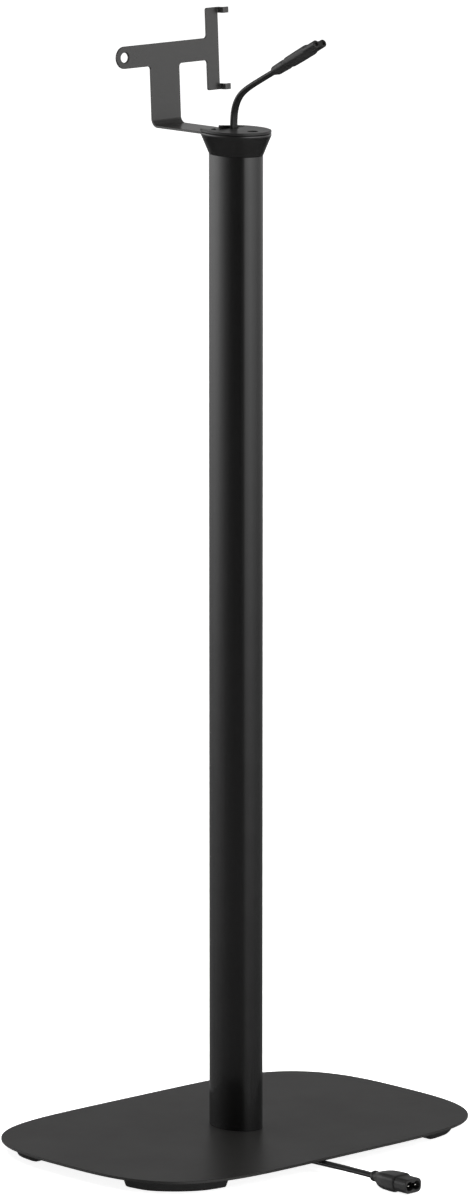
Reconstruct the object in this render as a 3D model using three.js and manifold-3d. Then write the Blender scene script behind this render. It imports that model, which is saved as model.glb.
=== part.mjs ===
// Floor stand for a compact loudspeaker: oval column on a superelliptical steel
// base, tapered collar, folded steel back bracket and a built-in mains lead.
// Millimetres, +Z up. Origin: on the floor, on the column axis.
// +X runs along the long side of the base, +Y is the side of the back bracket,
// and the lead leaves the base towards -Y.
import * as THREE from 'three';
import * as BufferGeometryUtils from 'three/addons/utils/BufferGeometryUtils.js';
import Module from 'manifold-3d';

const wasm = await Module();
wasm.setup();

// ---------------------------------------------------------------- dimensions
const GAP = 0.3;                 // clearance between touching pieces

// base plate
const BASE_A = 213.3;            // half length, X
const BASE_B = 145.5;            // half width, Y
const BASE_N = 4.99;             // outline exponent along X
const BASE_M = 2.975;            // outline exponent along Y
const PLATE_T = 2.5;             // sheet thickness
const PLATE_Z = 10.6;            // underside of the base plate
const PLATE_TOP = PLATE_Z + PLATE_T;

// corner feet
const FOOT_H = PLATE_Z - GAP;
const FOOT_DRAFT = 3.4;          // each side leans in by this much towards the floor

// column
const COL_P = 20.5;              // half width, X
const COL_Q = 28.4;              // half depth, Y
const COL_WALL = 2.2;
const COL_Z0 = PLATE_TOP + GAP;
const COL_Z1 = 910.3;
const SCREW_Y = 21.6;            // screw channels on the Y axis
const SCREW_X = 13.7;            // screw channels on the X axis
const CHANNEL_R = 3.9;
const CHANNEL_BORE = 2.25;

// doubler and bolts under the base
const STIFF_A = 38, STIFF_B = 44, STIFF_T = 2.0;
const BOLT_R = 2.0, BOLT_HEAD_R = 4.0, BOLT_HEAD_H = 2.6, BOLT_LEN = 24;
const WASHER_R = 4.9, WASHER_T = 0.8;

// collar and cap
const COLLAR_Z0 = COL_Z1 + GAP;
const COLLAR_Z1 = 930.7;
const CAP_P = 28.5;              // half width of the cap, X
const CAP_Q = 35.6;              // half depth of the cap, Y
const CAP_Z0 = COLLAR_Z1 + GAP;
const CAP_TOP = 933.1;
const SPIGOT_Z = 894;            // lower end of the spigot inside the column
const ACCESS_R = 4.85;           // round access hole in the cap
const ACCESS_Y = -22;
const RECESS_X = 18.6;           // half width of the recess for the bracket
const RECESS_Y = 8.0;            // inner end of that recess

// back bracket, one folded sheet
const SHEET = 2.0;
const STRIP_TOP = 929.7;         // upper face of the horizontal strip
const STRIP_X = 17.6;            // half width of strip and stem
const STRIP_Y0 = 16.2;           // inner end of the strip
const BEND_Y = 85.7;             // start of the bend
const BEND_R = 6.0;              // inner radius of the bend
const LEAN = THREE.MathUtils.degToRad(2.73);
const ARM_Z0 = 983.4, ARM_Z1 = 1003.6;
const ARM_END = -48.5;           // centre of the rounded arm end
const POST_X0 = 52.2, POST_X1 = 66.8;
const POST_Z0 = 955.7, POST_Z1 = 1030.8;
const HOOK_H = 5.4, HOOK_LEG = 9.1, HOOK_LIP = 7.0;
const EYE_R = 4.5;
const STRIP_HOLE_Y = 29;

// upright tab standing in the recess behind the lead
const BAR_X0 = -7.4, BAR_X1 = 12.5, BAR_Y0 = 12.8, BAR_Y1 = 15.2;
const BAR_TOP = [[12.5, 934.2], [5.0, 934.9], [-7.4, 936.0]]; // its top edge slopes
const PEGS_X = [BAR_X0 + 3, BAR_X1 - 2.6], PEG_Y = 14.0;

// mains lead and its two connectors
const LEAD_A = 3.75, LEAD_B = 2.45; // half width and half thickness of the flat cord
const EXIT_X = 4, EXIT_Y = 7.2;  // where the lead leaves the cap
const HOLE_R = 4.9;              // lead hole in collar and cap
const PIN_PITCH = 8.6;
const TOP_TILT = THREE.MathUtils.degToRad(27.2);
const TOP_REAR = new THREE.Vector3(EXIT_X, -47.4, 989.3);
const TOP_LEN = 64.8;
const LOW_X = -23.6, LOW_Z = 7.75, LOW_REAR_Y = -206.6, LOW_LEN = 51.2;

// ------------------------------------------------------------------ helpers
const stand = new THREE.Group();

function material(hex, roughness, metalness) {
  return new THREE.MeshStandardMaterial({ color: hex, roughness, metalness });
}
const STEEL = () => material(0x434240, 0.5, 0.4);
const ALU = () => material(0x1d1d1c, 0.32, 0.6);
const PLASTIC = () => material(0x1f1f1f, 0.5, 0.0);
const RUBBER = () => material(0x1b1b1b, 0.8, 0.0);
const ZINC = () => material(0x8a8c8d, 0.35, 1.0);
const BLACK = () => material(0x1e1e1e, 0.45, 0.5);
const NICKEL = () => material(0xcfcfca, 0.25, 1.0);
const PVC = () => material(0x171717, 0.5, 0.0);

function weld(geometry) {
  const g = geometry.clone();
  g.deleteAttribute('normal');
  g.deleteAttribute('uv');
  return BufferGeometryUtils.mergeVertices(g, 1e-4);
}
function solid(geometry) {
  const g = weld(geometry);
  return new wasm.Manifold(new wasm.Mesh({
    numProp: 3,
    vertProperties: new Float32Array(g.attributes.position.array),
    triVerts: new Uint32Array(g.index.array),
  }));
}
function toGeometry(m) {
  const mesh = m.getMesh();
  const g = new THREE.BufferGeometry();
  const pos = new Float32Array(mesh.numVert * 3);
  for (let i = 0; i < mesh.numVert; i++)
    for (let k = 0; k < 3; k++) pos[i * 3 + k] = mesh.vertProperties[i * mesh.numProp + k];
  g.setAttribute('position', new THREE.BufferAttribute(pos, 3));
  g.setIndex(new THREE.BufferAttribute(new Uint32Array(mesh.triVerts), 1));
  g.computeVertexNormals();
  return g;
}
function add(name, shape, mat) {
  const mesh = new THREE.Mesh(shape instanceof THREE.BufferGeometry ? shape : toGeometry(shape), mat);
  mesh.name = name;
  stand.add(mesh);
}
// upright cylinder from z0 to z1
function pillar(r, z0, z1, x = 0, y = 0, n = 24) {
  const g = new THREE.CylinderGeometry(r, r, z1 - z0, n);
  g.rotateX(Math.PI / 2);
  g.translate(x, y, (z0 + z1) / 2);
  return solid(g);
}
function box(x0, x1, y0, y1, z0, z1) {
  const g = new THREE.BoxGeometry(Math.abs(x1 - x0), Math.abs(y1 - y0), z1 - z0);
  g.translate((x0 + x1) / 2, (y0 + y1) / 2, (z0 + z1) / 2);
  return solid(g);
}
function slab(points, z0, z1) {
  const g = new THREE.ExtrudeGeometry(new THREE.Shape(points), {
    depth: z1 - z0, bevelEnabled: false, curveSegments: 1,
  });
  g.translate(0, 0, z0);
  return solid(g);
}
// slot with round ends between two points
function slot(xa, ya, xb, yb, half, z0, z1) {
  const l = Math.hypot(xb - xa, yb - ya), px = -(yb - ya) / l * half, py = (xb - xa) / l * half;
  return slab([[xa + px, ya + py], [xa - px, ya - py], [xb - px, yb - py], [xb + px, yb + py]].map(([x, y]) => new THREE.Vector2(x, y)), z0, z1)
    .add(pillar(half, z0, z1, xa, ya, 28)).add(pillar(half, z0, z1, xb, yb, 28));
}
function ellipse(a, b, n = 88) {
  const pts = [];
  for (let i = 0; i < n; i++) {
    const t = 2 * Math.PI * i / n;
    pts.push(new THREE.Vector2(a * Math.cos(t), b * Math.sin(t)));
  }
  return pts;
}
const colOval = (d, n) => ellipse(COL_P + d, COL_Q + d, n);
// outline of the base
function baseOutline(n = 128) {
  const pts = [];
  for (let i = 0; i < n; i++) {
    const t = 2 * Math.PI * i / n, c = Math.cos(t), s = Math.sin(t);
    pts.push(new THREE.Vector2(
      BASE_A * Math.sign(c) * Math.abs(c) ** (2 / BASE_N),
      BASE_B * Math.sign(s) * Math.abs(s) ** (2 / BASE_M),
    ));
  }
  return pts;
}
// turned ring carried onto ovals between the column (k = 0) and the cap (k = 1)
function ovalRing(profile, n = 88) {
  const g = new THREE.LatheGeometry(profile.map(([k, z]) => new THREE.Vector2(20 + 10 * k, z)), n);
  g.rotateX(Math.PI / 2);
  const p = g.attributes.position;
  for (let i = 0; i < p.count; i++) {
    const x = p.getX(i), y = p.getY(i), r = Math.hypot(x, y), k = (r - 20) / 10;
    p.setXY(i, (COL_P + (CAP_P - COL_P) * k) * x / r, (COL_Q + (CAP_Q - COL_Q) * k) * y / r);
  }
  return solid(g);
}
// turned solid along +Y, its section widened along X:
// rows of [distance along the axis, width, height, corner radius]
function oblong(list, n = 32) {
  const rows = list.map(([s, w, h, r]) => [s, w, h, r ?? h / 2]);
  const prof = [new THREE.Vector2(0, rows[0][0])];
  for (const [s, , , r] of rows) prof.push(new THREE.Vector2(r, s));
  prof.push(new THREE.Vector2(0, rows[rows.length - 1][0]));
  const g = new THREE.LatheGeometry(prof, n, Math.PI / n);
  const p = g.attributes.position;
  for (let i = 0; i < p.count; i++) {
    const s = p.getY(i), x = p.getX(i), z = p.getZ(i);
    if (Math.hypot(x, z) < 1e-6) continue;
    let k = 0;
    while (k < rows.length - 2 && s > rows[k + 1][0] + 1e-6) k++;
    const [s0, w0, h0, r0] = rows[k], [s1, w1, h1, r1] = rows[k + 1];
    const f = Math.min(1, Math.max(0, (s - s0) / (s1 - s0)));
    p.setX(i, x + Math.sign(x) * ((w0 / 2 - r0) * (1 - f) + (w1 / 2 - r1) * f));
    p.setZ(i, z + Math.sign(z) * ((h0 / 2 - r0) * (1 - f) + (h1 / 2 - r1) * f));
  }
  return solid(g);
}
function alongY(r, y0, y1, x = 0, z = 0, n = 24) {
  const g = new THREE.CylinderGeometry(r, r, y1 - y0, n);
  g.translate(x, (y0 + y1) / 2, z);
  return solid(g);
}
// flat cord through a list of points, its wide side along X at the start
function cordThrough(points, steps, sides = 12) {
  const ring = [];
  for (let i = 0; i < sides; i++) {
    const t = 2 * Math.PI * (i + 0.5) / sides;
    ring.push(new THREE.Vector2(LEAD_A * Math.cos(t), LEAD_B * Math.sin(t)).multiplyScalar(1.012));
  }
  return solid(new THREE.ExtrudeGeometry(new THREE.Shape(ring), {
    steps, extrudePath: new THREE.CatmullRomCurve3(points, false, 'centripetal'), curveSegments: 1,
  }));
}
function turned(profile, n = 24, x = 0, y = 0) {
  const g = new THREE.LatheGeometry(profile.map(([r, z]) => new THREE.Vector2(r, z)), n);
  g.rotateX(Math.PI / 2);
  g.translate(x, y, 0);
  return solid(g);
}

// --------------------------------------------------------------- base plate
// The lead passes through a slot inside the column.
const innerPts = [
  [EXIT_X, EXIT_Y, CAP_TOP - 0.6], [EXIT_X, EXIT_Y - 0.05, 900], [3.0, 6.6, 860], [0.5, 4.0, 760], [-0.5, 3.0, 450],
  [-1.5, 4.5, 200], [-3.0, 8.0, 70], [-3.2, 8.0, 42], [-3.6, 4.6, 25], [-4.6, -2.5, 13], [-6.9, -12.5, 6.4],
  [-9.6, -22.0, 4.9], [-12.6, -36.0, 4.9], [-17.6, -66.0, 5.4], [-21.8, -96.0, 6.2], [-23.2, -116.0, 6.7],
  [LOW_X, -131.0, 7.0],
].map((a) => new THREE.Vector3(...a));
const innerEnd = innerPts[innerPts.length - 1];
const places = [['front', 0, -SCREW_Y], ['rear', 0, SCREW_Y], ['left', -SCREW_X, 0], ['right', SCREW_X, 0]];
{
  let m = slab(baseOutline(), PLATE_Z, PLATE_TOP);
  m = m.subtract(slot(-3.9, 3.0, -6.3, -10.0, 4.9, PLATE_Z - 1, PLATE_TOP + 1));
  for (const [, x, y] of places) m = m.subtract(pillar(BOLT_R + GAP, PLATE_Z - 1, PLATE_TOP + 1, x, y));
  add('base_plate', m, STEEL());
}
{
  const z1 = PLATE_Z - GAP, z0 = z1 - STIFF_T;
  const pts = [];
  for (let i = 0; i < 56; i++) {
    const t = 2 * Math.PI * i / 56, c = Math.cos(t), s = Math.sin(t);
    pts.push(new THREE.Vector2(STIFF_A * Math.sign(c) * Math.abs(c) ** 0.5, STIFF_B * Math.sign(s) * Math.abs(s) ** 0.5));
  }
  let m = slab(pts, z0, z1);
  m = m.subtract(slot(-4.2, 2.0, -8.0, -15.6, 4.9, z0 - 1, z1 + 1));
  for (const [, x, y] of places) m = m.subtract(pillar(BOLT_R + GAP, z0 - 1, z1 + 1, x, y));
  add('base_stiffener', m, STEEL());
  // socket-head bolts with plain washers, driven up into the screw channels
  for (const [where, x, y] of places) {
    const wz1 = z0 - 0.1, wz0 = wz1 - WASHER_T;
    add(`base_washer_${where}`, pillar(WASHER_R, wz0, wz1, x, y, 28).subtract(pillar(BOLT_R + GAP, wz0 - 1, wz1 + 1, x, y)), ZINC());
    const hz1 = wz0 - 0.1, hz0 = hz1 - BOLT_HEAD_H;
    let b = turned([[0, hz0], [2.6, hz0], [3.5, hz0 + 0.5], [BOLT_HEAD_R, hz0 + 1.4], [BOLT_HEAD_R, hz1],
      [BOLT_R, hz1], [BOLT_R, hz1 + BOLT_LEN - 1], [BOLT_R - 0.8, hz1 + BOLT_LEN], [0, hz1 + BOLT_LEN]], 24, x, y);
    const hex = new THREE.CylinderGeometry(1.75, 1.75, 3, 6);
    hex.rotateX(Math.PI / 2);
    hex.translate(x, y, hz0 + 0.3);
    b = b.subtract(solid(hex));
    add(`base_bolt_${where}`, b, ZINC());
  }
}

// -------------------------------------------------------------- corner feet
// Thick crescents under the four corners, their sides leaning in to the floor.
const footOuter = [
  [-191.8, -60.1], [-192.7, -67.2], [-187.9, -88.4], [-172.9, -106.5], [-155.1, -119.0], [-139.5, -123.6], [-127.9, -124.6],
];
const footInner = [
  [-127.6, -102.5], [-139.0, -100.5], [-151.0, -94.0], [-161.5, -84.5], [-168.0, -73.0], [-170.0, -60.4],
];
function footPoints() {
  const a = new THREE.SplineCurve(footOuter.map(([x, y]) => new THREE.Vector2(x, y))).getPoints(22);
  const b = new THREE.SplineCurve(footInner.map(([x, y]) => new THREE.Vector2(x, y))).getPoints(12);
  return a.concat(b);
}
function grown(pts, d) {
  const n = pts.length;
  let area = 0;
  for (let i = 0; i < n; i++) area += pts[i].x * pts[(i + 1) % n].y - pts[(i + 1) % n].x * pts[i].y;
  const sg = Math.sign(area);
  return pts.map((p, i) => {
    const e0 = new THREE.Vector2().subVectors(p, pts[(i + n - 1) % n]).normalize();
    const e1 = new THREE.Vector2().subVectors(pts[(i + 1) % n], p).normalize();
    const n0 = new THREE.Vector2(e0.y, -e0.x), n1 = new THREE.Vector2(e1.y, -e1.x);
    const m = n0.clone().add(n1).normalize();
    const k = Math.min(1 / Math.max(0.4, m.dot(n0)), 1.5);
    return new THREE.Vector2(p.x + sg * m.x * d * k, p.y + sg * m.y * d * k);
  });
}
const corners = [['front_left', 1, 1], ['rear_left', 1, -1], ['front_right', -1, 1], ['rear_right', -1, -1]];
{
  const low = footPoints(), high = grown(low, FOOT_DRAFT);
  const g = new THREE.ExtrudeGeometry(new THREE.Shape(low), { depth: FOOT_H, bevelEnabled: false, curveSegments: 1 });
  const p = g.attributes.position;
  for (let i = 0; i < p.count; i++) {
    if (p.getZ(i) < FOOT_H / 2) continue;
    let best = 0, bd = Infinity;
    for (let k = 0; k < low.length; k++) {
      const d = Math.hypot(low[k].x - p.getX(i), low[k].y - p.getY(i));
      if (d < bd) { bd = d; best = k; }
    }
    p.setXY(i, high[best].x, high[best].y);
  }
  const m = solid(g);
  for (const [where, mx, my] of corners) add(`foot_${where}`, m.scale([mx, my, 1]), RUBBER());
}

// ------------------------------------------------------------------- column
{
  let m = slab(colOval(0), COL_Z0, COL_Z1).subtract(slab(colOval(-COL_WALL), COL_Z0 - 1, COL_Z1 + 1));
  for (const [, x, y] of places) {
    // each channel is joined to the wall by a short web
    m = m.add(pillar(CHANNEL_R, COL_Z0, COL_Z1, x, y, 28));
    const wx = Math.sign(x) * (COL_P - 1), wy = Math.sign(y) * (COL_Q - 1);
    m = m.add(x === 0 ? box(-2.2, 2.2, y, wy, COL_Z0, COL_Z1) : box(x, wx, -2.2, 2.2, COL_Z0, COL_Z1));
    m = m.subtract(pillar(CHANNEL_BORE, COL_Z0 - 1, COL_Z1 + 1, x, y, 24));
  }
  add('column_extrusion', m, ALU());
}

// ----------------------------------------------------------- collar and cap
{
  // straight cone, rounded shoulder, then the seat of the cap
  let m = ovalRing([
    [-0.9, COLLAR_Z0], [-0.02, COLLAR_Z0], [0.03, COLLAR_Z0 + 0.35], [0.925, 927.1], [0.965, 927.9], [0.99, 928.6],
    [1.0, 929.2], [0.985, 929.8], [0.95, 930.3], [0.9, COLLAR_Z1], [-0.9, COLLAR_Z1], [-0.9, COLLAR_Z0],
  ]);
  // deck across the middle
  m = m.add(slab(ellipse(15.5, 24), COLLAR_Z0, COLLAR_Z1));
  // spigot down inside the column, notched round the screw channels
  const sp = -COL_WALL - 0.35;
  m = m.add(slab(colOval(sp), SPIGOT_Z, COLLAR_Z0 + 1)).subtract(slab(colOval(sp - 2.2), SPIGOT_Z - 1, COLLAR_Z0 - 3));
  for (const [, x, y] of places) {
    const z1 = COLLAR_Z0 - 0.02;
    m = m.subtract(pillar(CHANNEL_R + 0.35, SPIGOT_Z - 1, z1, x, y, 28));
    m = m.subtract(x === 0 ? box(-2.6, 2.6, y, Math.sign(y) * 30, SPIGOT_Z - 1, z1) : box(x, Math.sign(x) * 22, -2.6, 2.6, SPIGOT_Z - 1, z1));
  }
  // recess for the bracket strip, open at the rim
  m = m.subtract(box(-RECESS_X, RECESS_X, RECESS_Y, 60, STRIP_TOP - SHEET - GAP, COLLAR_Z1 + 2));
  // lead hole, screw holes and the access hole over the front screw
  m = m.subtract(pillar(HOLE_R, SPIGOT_Z - 2, COLLAR_Z1 + 2, EXIT_X, EXIT_Y, 28));
  m = m.subtract(pillar(2.5, SPIGOT_Z - 2, COLLAR_Z1 + 2, 0, -SCREW_Y));
  m = m.subtract(pillar(ACCESS_R, 921.0, COLLAR_Z1 + 2, 0, ACCESS_Y, 32));
  m = m.subtract(pillar(2.5, SPIGOT_Z - 2, COLLAR_Z1 + 2, 0, SCREW_Y));
  m = m.subtract(pillar(1.95, 918.4, COLLAR_Z1 + 2, 0, STRIP_HOLE_Y));
  // sockets for the two pegs of the tab
  for (const x of PEGS_X) m = m.subtract(pillar(1.3, 922.0, COLLAR_Z1 + 2, x, PEG_Y, 20));
  add('collar', m, PLASTIC());
}
{
  let m = slab(ellipse(CAP_P, CAP_Q), CAP_Z0, CAP_TOP - 0.35).add(slab(ellipse(CAP_P - 0.35, CAP_Q - 0.35), CAP_Z0, CAP_TOP));
  m = m.subtract(box(-RECESS_X, RECESS_X, RECESS_Y, 60, CAP_Z0 - 1, CAP_TOP + 1));
  m = m.subtract(pillar(HOLE_R, CAP_Z0 - 1, CAP_TOP + 1, EXIT_X, EXIT_Y, 28));
  m = m.subtract(pillar(ACCESS_R, CAP_Z0 - 1, CAP_TOP + 1, 0, ACCESS_Y, 32));
  add('collar_cap', m, PLASTIC());
}
{
  // tab behind the lead, on two pegs in the floor of the recess
  const z0 = STRIP_TOP - SHEET - GAP + 0.1;
  let m = slab([[BAR_X0, z0], [BAR_X1, z0], ...BAR_TOP].map(([x, z]) => new THREE.Vector2(x, z)), -BAR_Y1, -BAR_Y0).rotate([90, 0, 0]);
  for (const x of PEGS_X) m = m.add(pillar(1.0, 922.8, z0 + 1, x, PEG_Y, 20));
  add('cable_clamp', m, PLASTIC());
}
// tapping screws with a cross recess
function tapScrew(y, zHead, headR, headH, r, len) {
  let m = turned([[0, zHead - len], [r * 0.3, zHead - len], [r, zHead - len + 2.2], [r, zHead], [headR, zHead],
    [headR, zHead + headH * 0.5], [headR * 0.72, zHead + headH], [0, zHead + headH]], 24, 0, y);
  const w = 0.45, l = headR * 0.55, z = zHead + headH - 1.0;
  m = m.subtract(box(-l, l, y - w, y + w, z, z + 2));
  return m.subtract(box(-w, w, y - l, y + l, z, z + 2));
}
add('collar_screw_front', tapScrew(-SCREW_Y, 921.1, 3.8, 2.3, 1.95, 27), ZINC());
add('collar_screw_rear', tapScrew(SCREW_Y, STRIP_TOP + 0.1, 3.5, 1.9, 1.95, 36), ZINC());
add('bracket_screw', tapScrew(STRIP_HOLE_Y, STRIP_TOP + 0.1, 2.7, 1.2, 1.6, 9), BLACK());

// ------------------------------------------------------- folded back bracket
{
  // the upright is drawn flat, then leaned back about the bend
  const zc = STRIP_TOP + BEND_R;
  const v = (z) => (z - zc) / Math.cos(LEAN);      // height along the leaning sheet
  const f = 3.0, c = 2.0, ra = (v(ARM_Z1) - v(ARM_Z0)) / 2, va = (v(ARM_Z1) + v(ARM_Z0)) / 2;
  const zl = v(ARM_Z0), zh = v(ARM_Z1), pt = v(POST_Z1), pb = v(POST_Z0), W = STRIP_X;
  const s = new THREE.Shape();
  s.moveTo(-W, -0.3);
  s.lineTo(W, -0.3);
  s.lineTo(W, zl - f);
  s.absarc(W + f, zl - f, f, Math.PI, Math.PI / 2, true);
  s.lineTo(POST_X0 - f, zl);
  s.absarc(POST_X0 - f, zl - f, f, Math.PI / 2, 0, true);
  s.lineTo(POST_X0, pb + c);
  s.absarc(POST_X0 + c, pb + c, c, Math.PI, 1.5 * Math.PI, false);
  s.lineTo(POST_X1, pb);
  s.lineTo(POST_X1, pt);
  s.lineTo(POST_X0 + c, pt);
  s.absarc(POST_X0 + c, pt - c, c, Math.PI / 2, Math.PI, false);
  s.lineTo(POST_X0, zh + f);
  s.absarc(POST_X0 - f, zh + f, f, 0, -Math.PI / 2, true);
  s.lineTo(ARM_END, zh);
  s.absarc(ARM_END, va, ra, Math.PI / 2, 1.5 * Math.PI, false);
  s.lineTo(-W - f, zl);
  s.absarc(-W - f, zl - f, f, Math.PI / 2, 0, true);
  s.lineTo(-W, -0.3);
  const flat = new THREE.ExtrudeGeometry(s, { depth: SHEET, bevelEnabled: false, curveSegments: 10 });
  flat.rotateX(Math.PI / 2);
  flat.translate(0, BEND_R + SHEET, 0);
  let up = solid(flat);
  up = up.subtract(alongY(EYE_R, BEND_R - 1, BEND_R + SHEET + 1, ARM_END, va, 32));
  // two hooks: a leg folded towards the column and a lip parallel to the sheet
  for (const z0 of [pb, pt - HOOK_H]) {
    const z1 = z0 + HOOK_H, y1 = BEND_R + SHEET, yl = y1 - HOOK_LEG, x = POST_X1;
    up = up.add(box(x - 1, x + SHEET, BEND_R, y1, z0, z1));
    up = up.add(box(x, x + SHEET, yl, y1, z0, z1));
    up = up.add(box(x, x + HOOK_LIP, yl, yl + SHEET, z0, z1));
  }
  up = up.rotate([-THREE.MathUtils.radToDeg(LEAN), 0, 0]).translate([0, BEND_Y, zc]);
  // bend: a wedge of a turned ring whose axis lies along X
  const ring = new THREE.LatheGeometry([[BEND_R, 0], [BEND_R + SHEET, 0], [BEND_R + SHEET, 2 * W], [BEND_R, 2 * W], [BEND_R, 0]]
    .map(([r, h]) => new THREE.Vector2(r, h)), 72);
  ring.rotateZ(-Math.PI / 2);
  ring.translate(-W, BEND_Y, zc);
  const wedge = new THREE.ExtrudeGeometry(new THREE.Shape([[0, 0], [0, -20], [20, -20], [20 * Math.cos(LEAN), -20 * Math.sin(LEAN)]]
    .map(([x, y]) => new THREE.Vector2(x, y))), { depth: 60, bevelEnabled: false });
  // shape x, shape y, depth become Y, Z, X
  wedge.applyMatrix4(new THREE.Matrix4().set(0, 0, 1, -30, 1, 0, 0, BEND_Y, 0, 1, 0, zc, 0, 0, 0, 1));
  const bend = solid(ring).intersect(solid(wedge));
  let strip = box(-W, W, STRIP_Y0, BEND_Y + 0.2, STRIP_TOP - SHEET, STRIP_TOP);
  strip = strip.subtract(pillar(1.6 + GAP, STRIP_TOP - SHEET - 1, STRIP_TOP + 1, 0, STRIP_HOLE_Y));
  strip = strip.subtract(pillar(1.95 + GAP, STRIP_TOP - SHEET - 1, STRIP_TOP + 1, 0, SCREW_Y));
  add('speaker_bracket', up.add(bend).add(strip), STEEL());
}

// ---------------------------------------------------------------- mains lead
// inside the column and below the base, in one piece
add('mains_lead_inner', cordThrough(innerPts, 112), PVC());

// two saddles hold it under the plate, their bores along the lead
for (const [name, k] of [['cable_clip_inner', 13], ['cable_clip_outer', 15]]) {
  const p = innerPts[k], d = new THREE.Vector3().subVectors(innerPts[k + 1], innerPts[k - 1]);
  const turn = THREE.MathUtils.radToDeg(Math.atan2(-d.x, d.y));
  const top = PLATE_Z - GAP - p.z;
  const a = 2 * LEAD_A, b = 2 * LEAD_B;
  let m = box(-10.5, 10.5, -4.5, 4.5, top - 1.4, top);
  m = m.add(oblong([[-4.5, a + 4, b + 3.2], [4.5, a + 4, b + 3.2]])).add(box(-LEAD_A - 2, LEAD_A + 2, -4.5, 4.5, 0, top - 0.5));
  m = m.intersect(box(-20, 20, -20, 20, -20, top));
  m = m.subtract(oblong([[-9, a + 0.9, b + 0.9], [9, a + 0.9, b + 0.9]]));
  add(name, m.rotate([0, 0, turn]).translate([p.x, p.y, p.z]), PLASTIC());
}

// free lead above the cap
const plug = new THREE.Vector3(0, -Math.cos(TOP_TILT), Math.sin(TOP_TILT));
const topPts = [
  [7.2, CAP_TOP - 0.3], [7.15, 937.5], [7.0, 940.5], [6.3, 947.1], [4.4, 953.9], [2.1, 958.4], [-0.6, 962.2],
  [-4.9, 966.3], [-10.6, 970.2], [-18.4, 974.6], [-26.9, 979.0], [-37.0, 984.15],
].map(([y, z]) => new THREE.Vector3(EXIT_X, y, z));
topPts.push(TOP_REAR.clone().addScaledVector(plug, -GAP));
add('mains_lead_top', cordThrough(topPts, 34), PVC());

// free lead from under the base to the inlet on the floor
add('mains_lead_bottom', cordThrough([
  [LOW_X, innerEnd.y - GAP, innerEnd.z], [LOW_X, -150, 7.35], [LOW_X, -176, 7.65], [LOW_X, LOW_REAR_Y + GAP, LOW_Z],
].map((a) => new THREE.Vector3(...a)), 10), PVC());

// ------------------------------------------------------ two-pole connectors
// Both are drawn along +Y from the lead end, then set in place.
function place(shape, axis, at) {
  const x = new THREE.Vector3(axis.y > 0 ? 1 : -1, 0, 0);
  const g = toGeometry(shape);
  g.applyMatrix4(new THREE.Matrix4().makeBasis(x, axis, x.clone().cross(axis)));
  g.translate(at.x, at.y, at.z);
  return g;
}
{
  // female end: grip, waist, body and figure-eight nose
  const NOSE = 52.5, LOBE_R = 3.75;
  let m = oblong([
    [0, 10.4, 7.0], [1.2, 12.2, 8.6], [16.5, 13.2, 9.2], [18.8, 12.8, 8.5], [21.5, 14.8, 9.6],
    [49.5, 15.8, 9.8], [51.6, 15.4, 9.3], [NOSE, 14.6, 8.4],
  ]);
  for (const x of [-PIN_PITCH / 2, PIN_PITCH / 2]) {
    const lobe = new THREE.CylinderGeometry(LOBE_R - 0.15, LOBE_R, TOP_LEN - NOSE + 4, 28);
    lobe.translate(x, (TOP_LEN + NOSE - 4) / 2, 0);
    m = m.add(solid(lobe));
  }
  m = m.add(box(-PIN_PITCH / 2, PIN_PITCH / 2, NOSE - 4, TOP_LEN, -2.5, 2.5));
  for (const x of [-PIN_PITCH / 2, PIN_PITCH / 2]) m = m.subtract(alongY(1.6, TOP_LEN - 15, TOP_LEN + 1, x, 0, 20));
  add('connector_top_body', place(m, plug, TOP_REAR), PVC());
  for (const [i, x] of [[1, -PIN_PITCH / 2], [2, PIN_PITCH / 2]]) {
    const c = alongY(1.35, TOP_LEN - 14.6, TOP_LEN - 2.4, x, 0, 20).subtract(alongY(0.95, TOP_LEN - 12.6, TOP_LEN - 1, x, 0, 20));
    add(`connector_top_contact_${i}`, place(c, plug, TOP_REAR), NICKEL());
  }
}
{
  // male in-line inlet: ribbed collar, flared body and shroud round two pins
  const RIM = 36.3, LEN = LOW_LEN;
  let m = oblong([
    [0, 9.0, 8.8], [0.5, 10.0, 9.8], [3.2, 10.2, 10.0], [3.9, 9.6, 8.8], [5.0, 10.0, 9.2, 4.4], [7.6, 11.8, 10.4, 4.5],
    [11.0, 15.4, 12.4, 4.5], [15.0, 19.0, 14.1, 4.5], [21.0, 21.4, 15.1, 4.5], [30.0, 22.4, 15.4, 4.5],
    [35.4, 22.4, 15.3, 4.5], [RIM, 21.6, 14.5, 4.3],
  ]);
  m = m.add(oblong([[RIM - 3, 20.3, 13.1, 5.0], [LEN - 0.6, 20.3, 13.1, 5.0], [LEN, 19.6, 12.4, 4.7]]));
  // figure-eight cavity round the pins
  for (const x of [-PIN_PITCH / 2, PIN_PITCH / 2]) m = m.subtract(alongY(4.2, LEN - 13.5, LEN + 5, x, 0, 28));
  m = m.subtract(box(-PIN_PITCH / 2, PIN_PITCH / 2, LEN - 13.5, LEN + 5, -2.9, 2.9));
  for (const x of [-PIN_PITCH / 2, PIN_PITCH / 2]) m = m.subtract(alongY(1.5, LEN - 22.5, LEN - 5, x, 0, 20));
  const axis = new THREE.Vector3(0, -1, 0), at = new THREE.Vector3(LOW_X, LOW_REAR_Y, LOW_Z);
  add('inlet_bottom_body', place(m, axis, at), PVC());
  for (const [i, x] of [[1, -PIN_PITCH / 2], [2, PIN_PITCH / 2]]) {
    const pin = new THREE.LatheGeometry([[0, LEN - 22], [1.2, LEN - 22], [1.2, LEN - 3.0], [0.9, LEN - 2.0], [0.4, LEN - 1.6], [0, LEN - 1.5]]
      .map(([r, h]) => new THREE.Vector2(r, h)), 20);
    pin.translate(x, 0, 0);
    add(`inlet_bottom_pin_${i}`, place(solid(pin), axis, at), NICKEL());
  }
}

export default stand;
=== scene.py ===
import bpy, bmesh, math
from mathutils import Matrix, Vector


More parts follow.
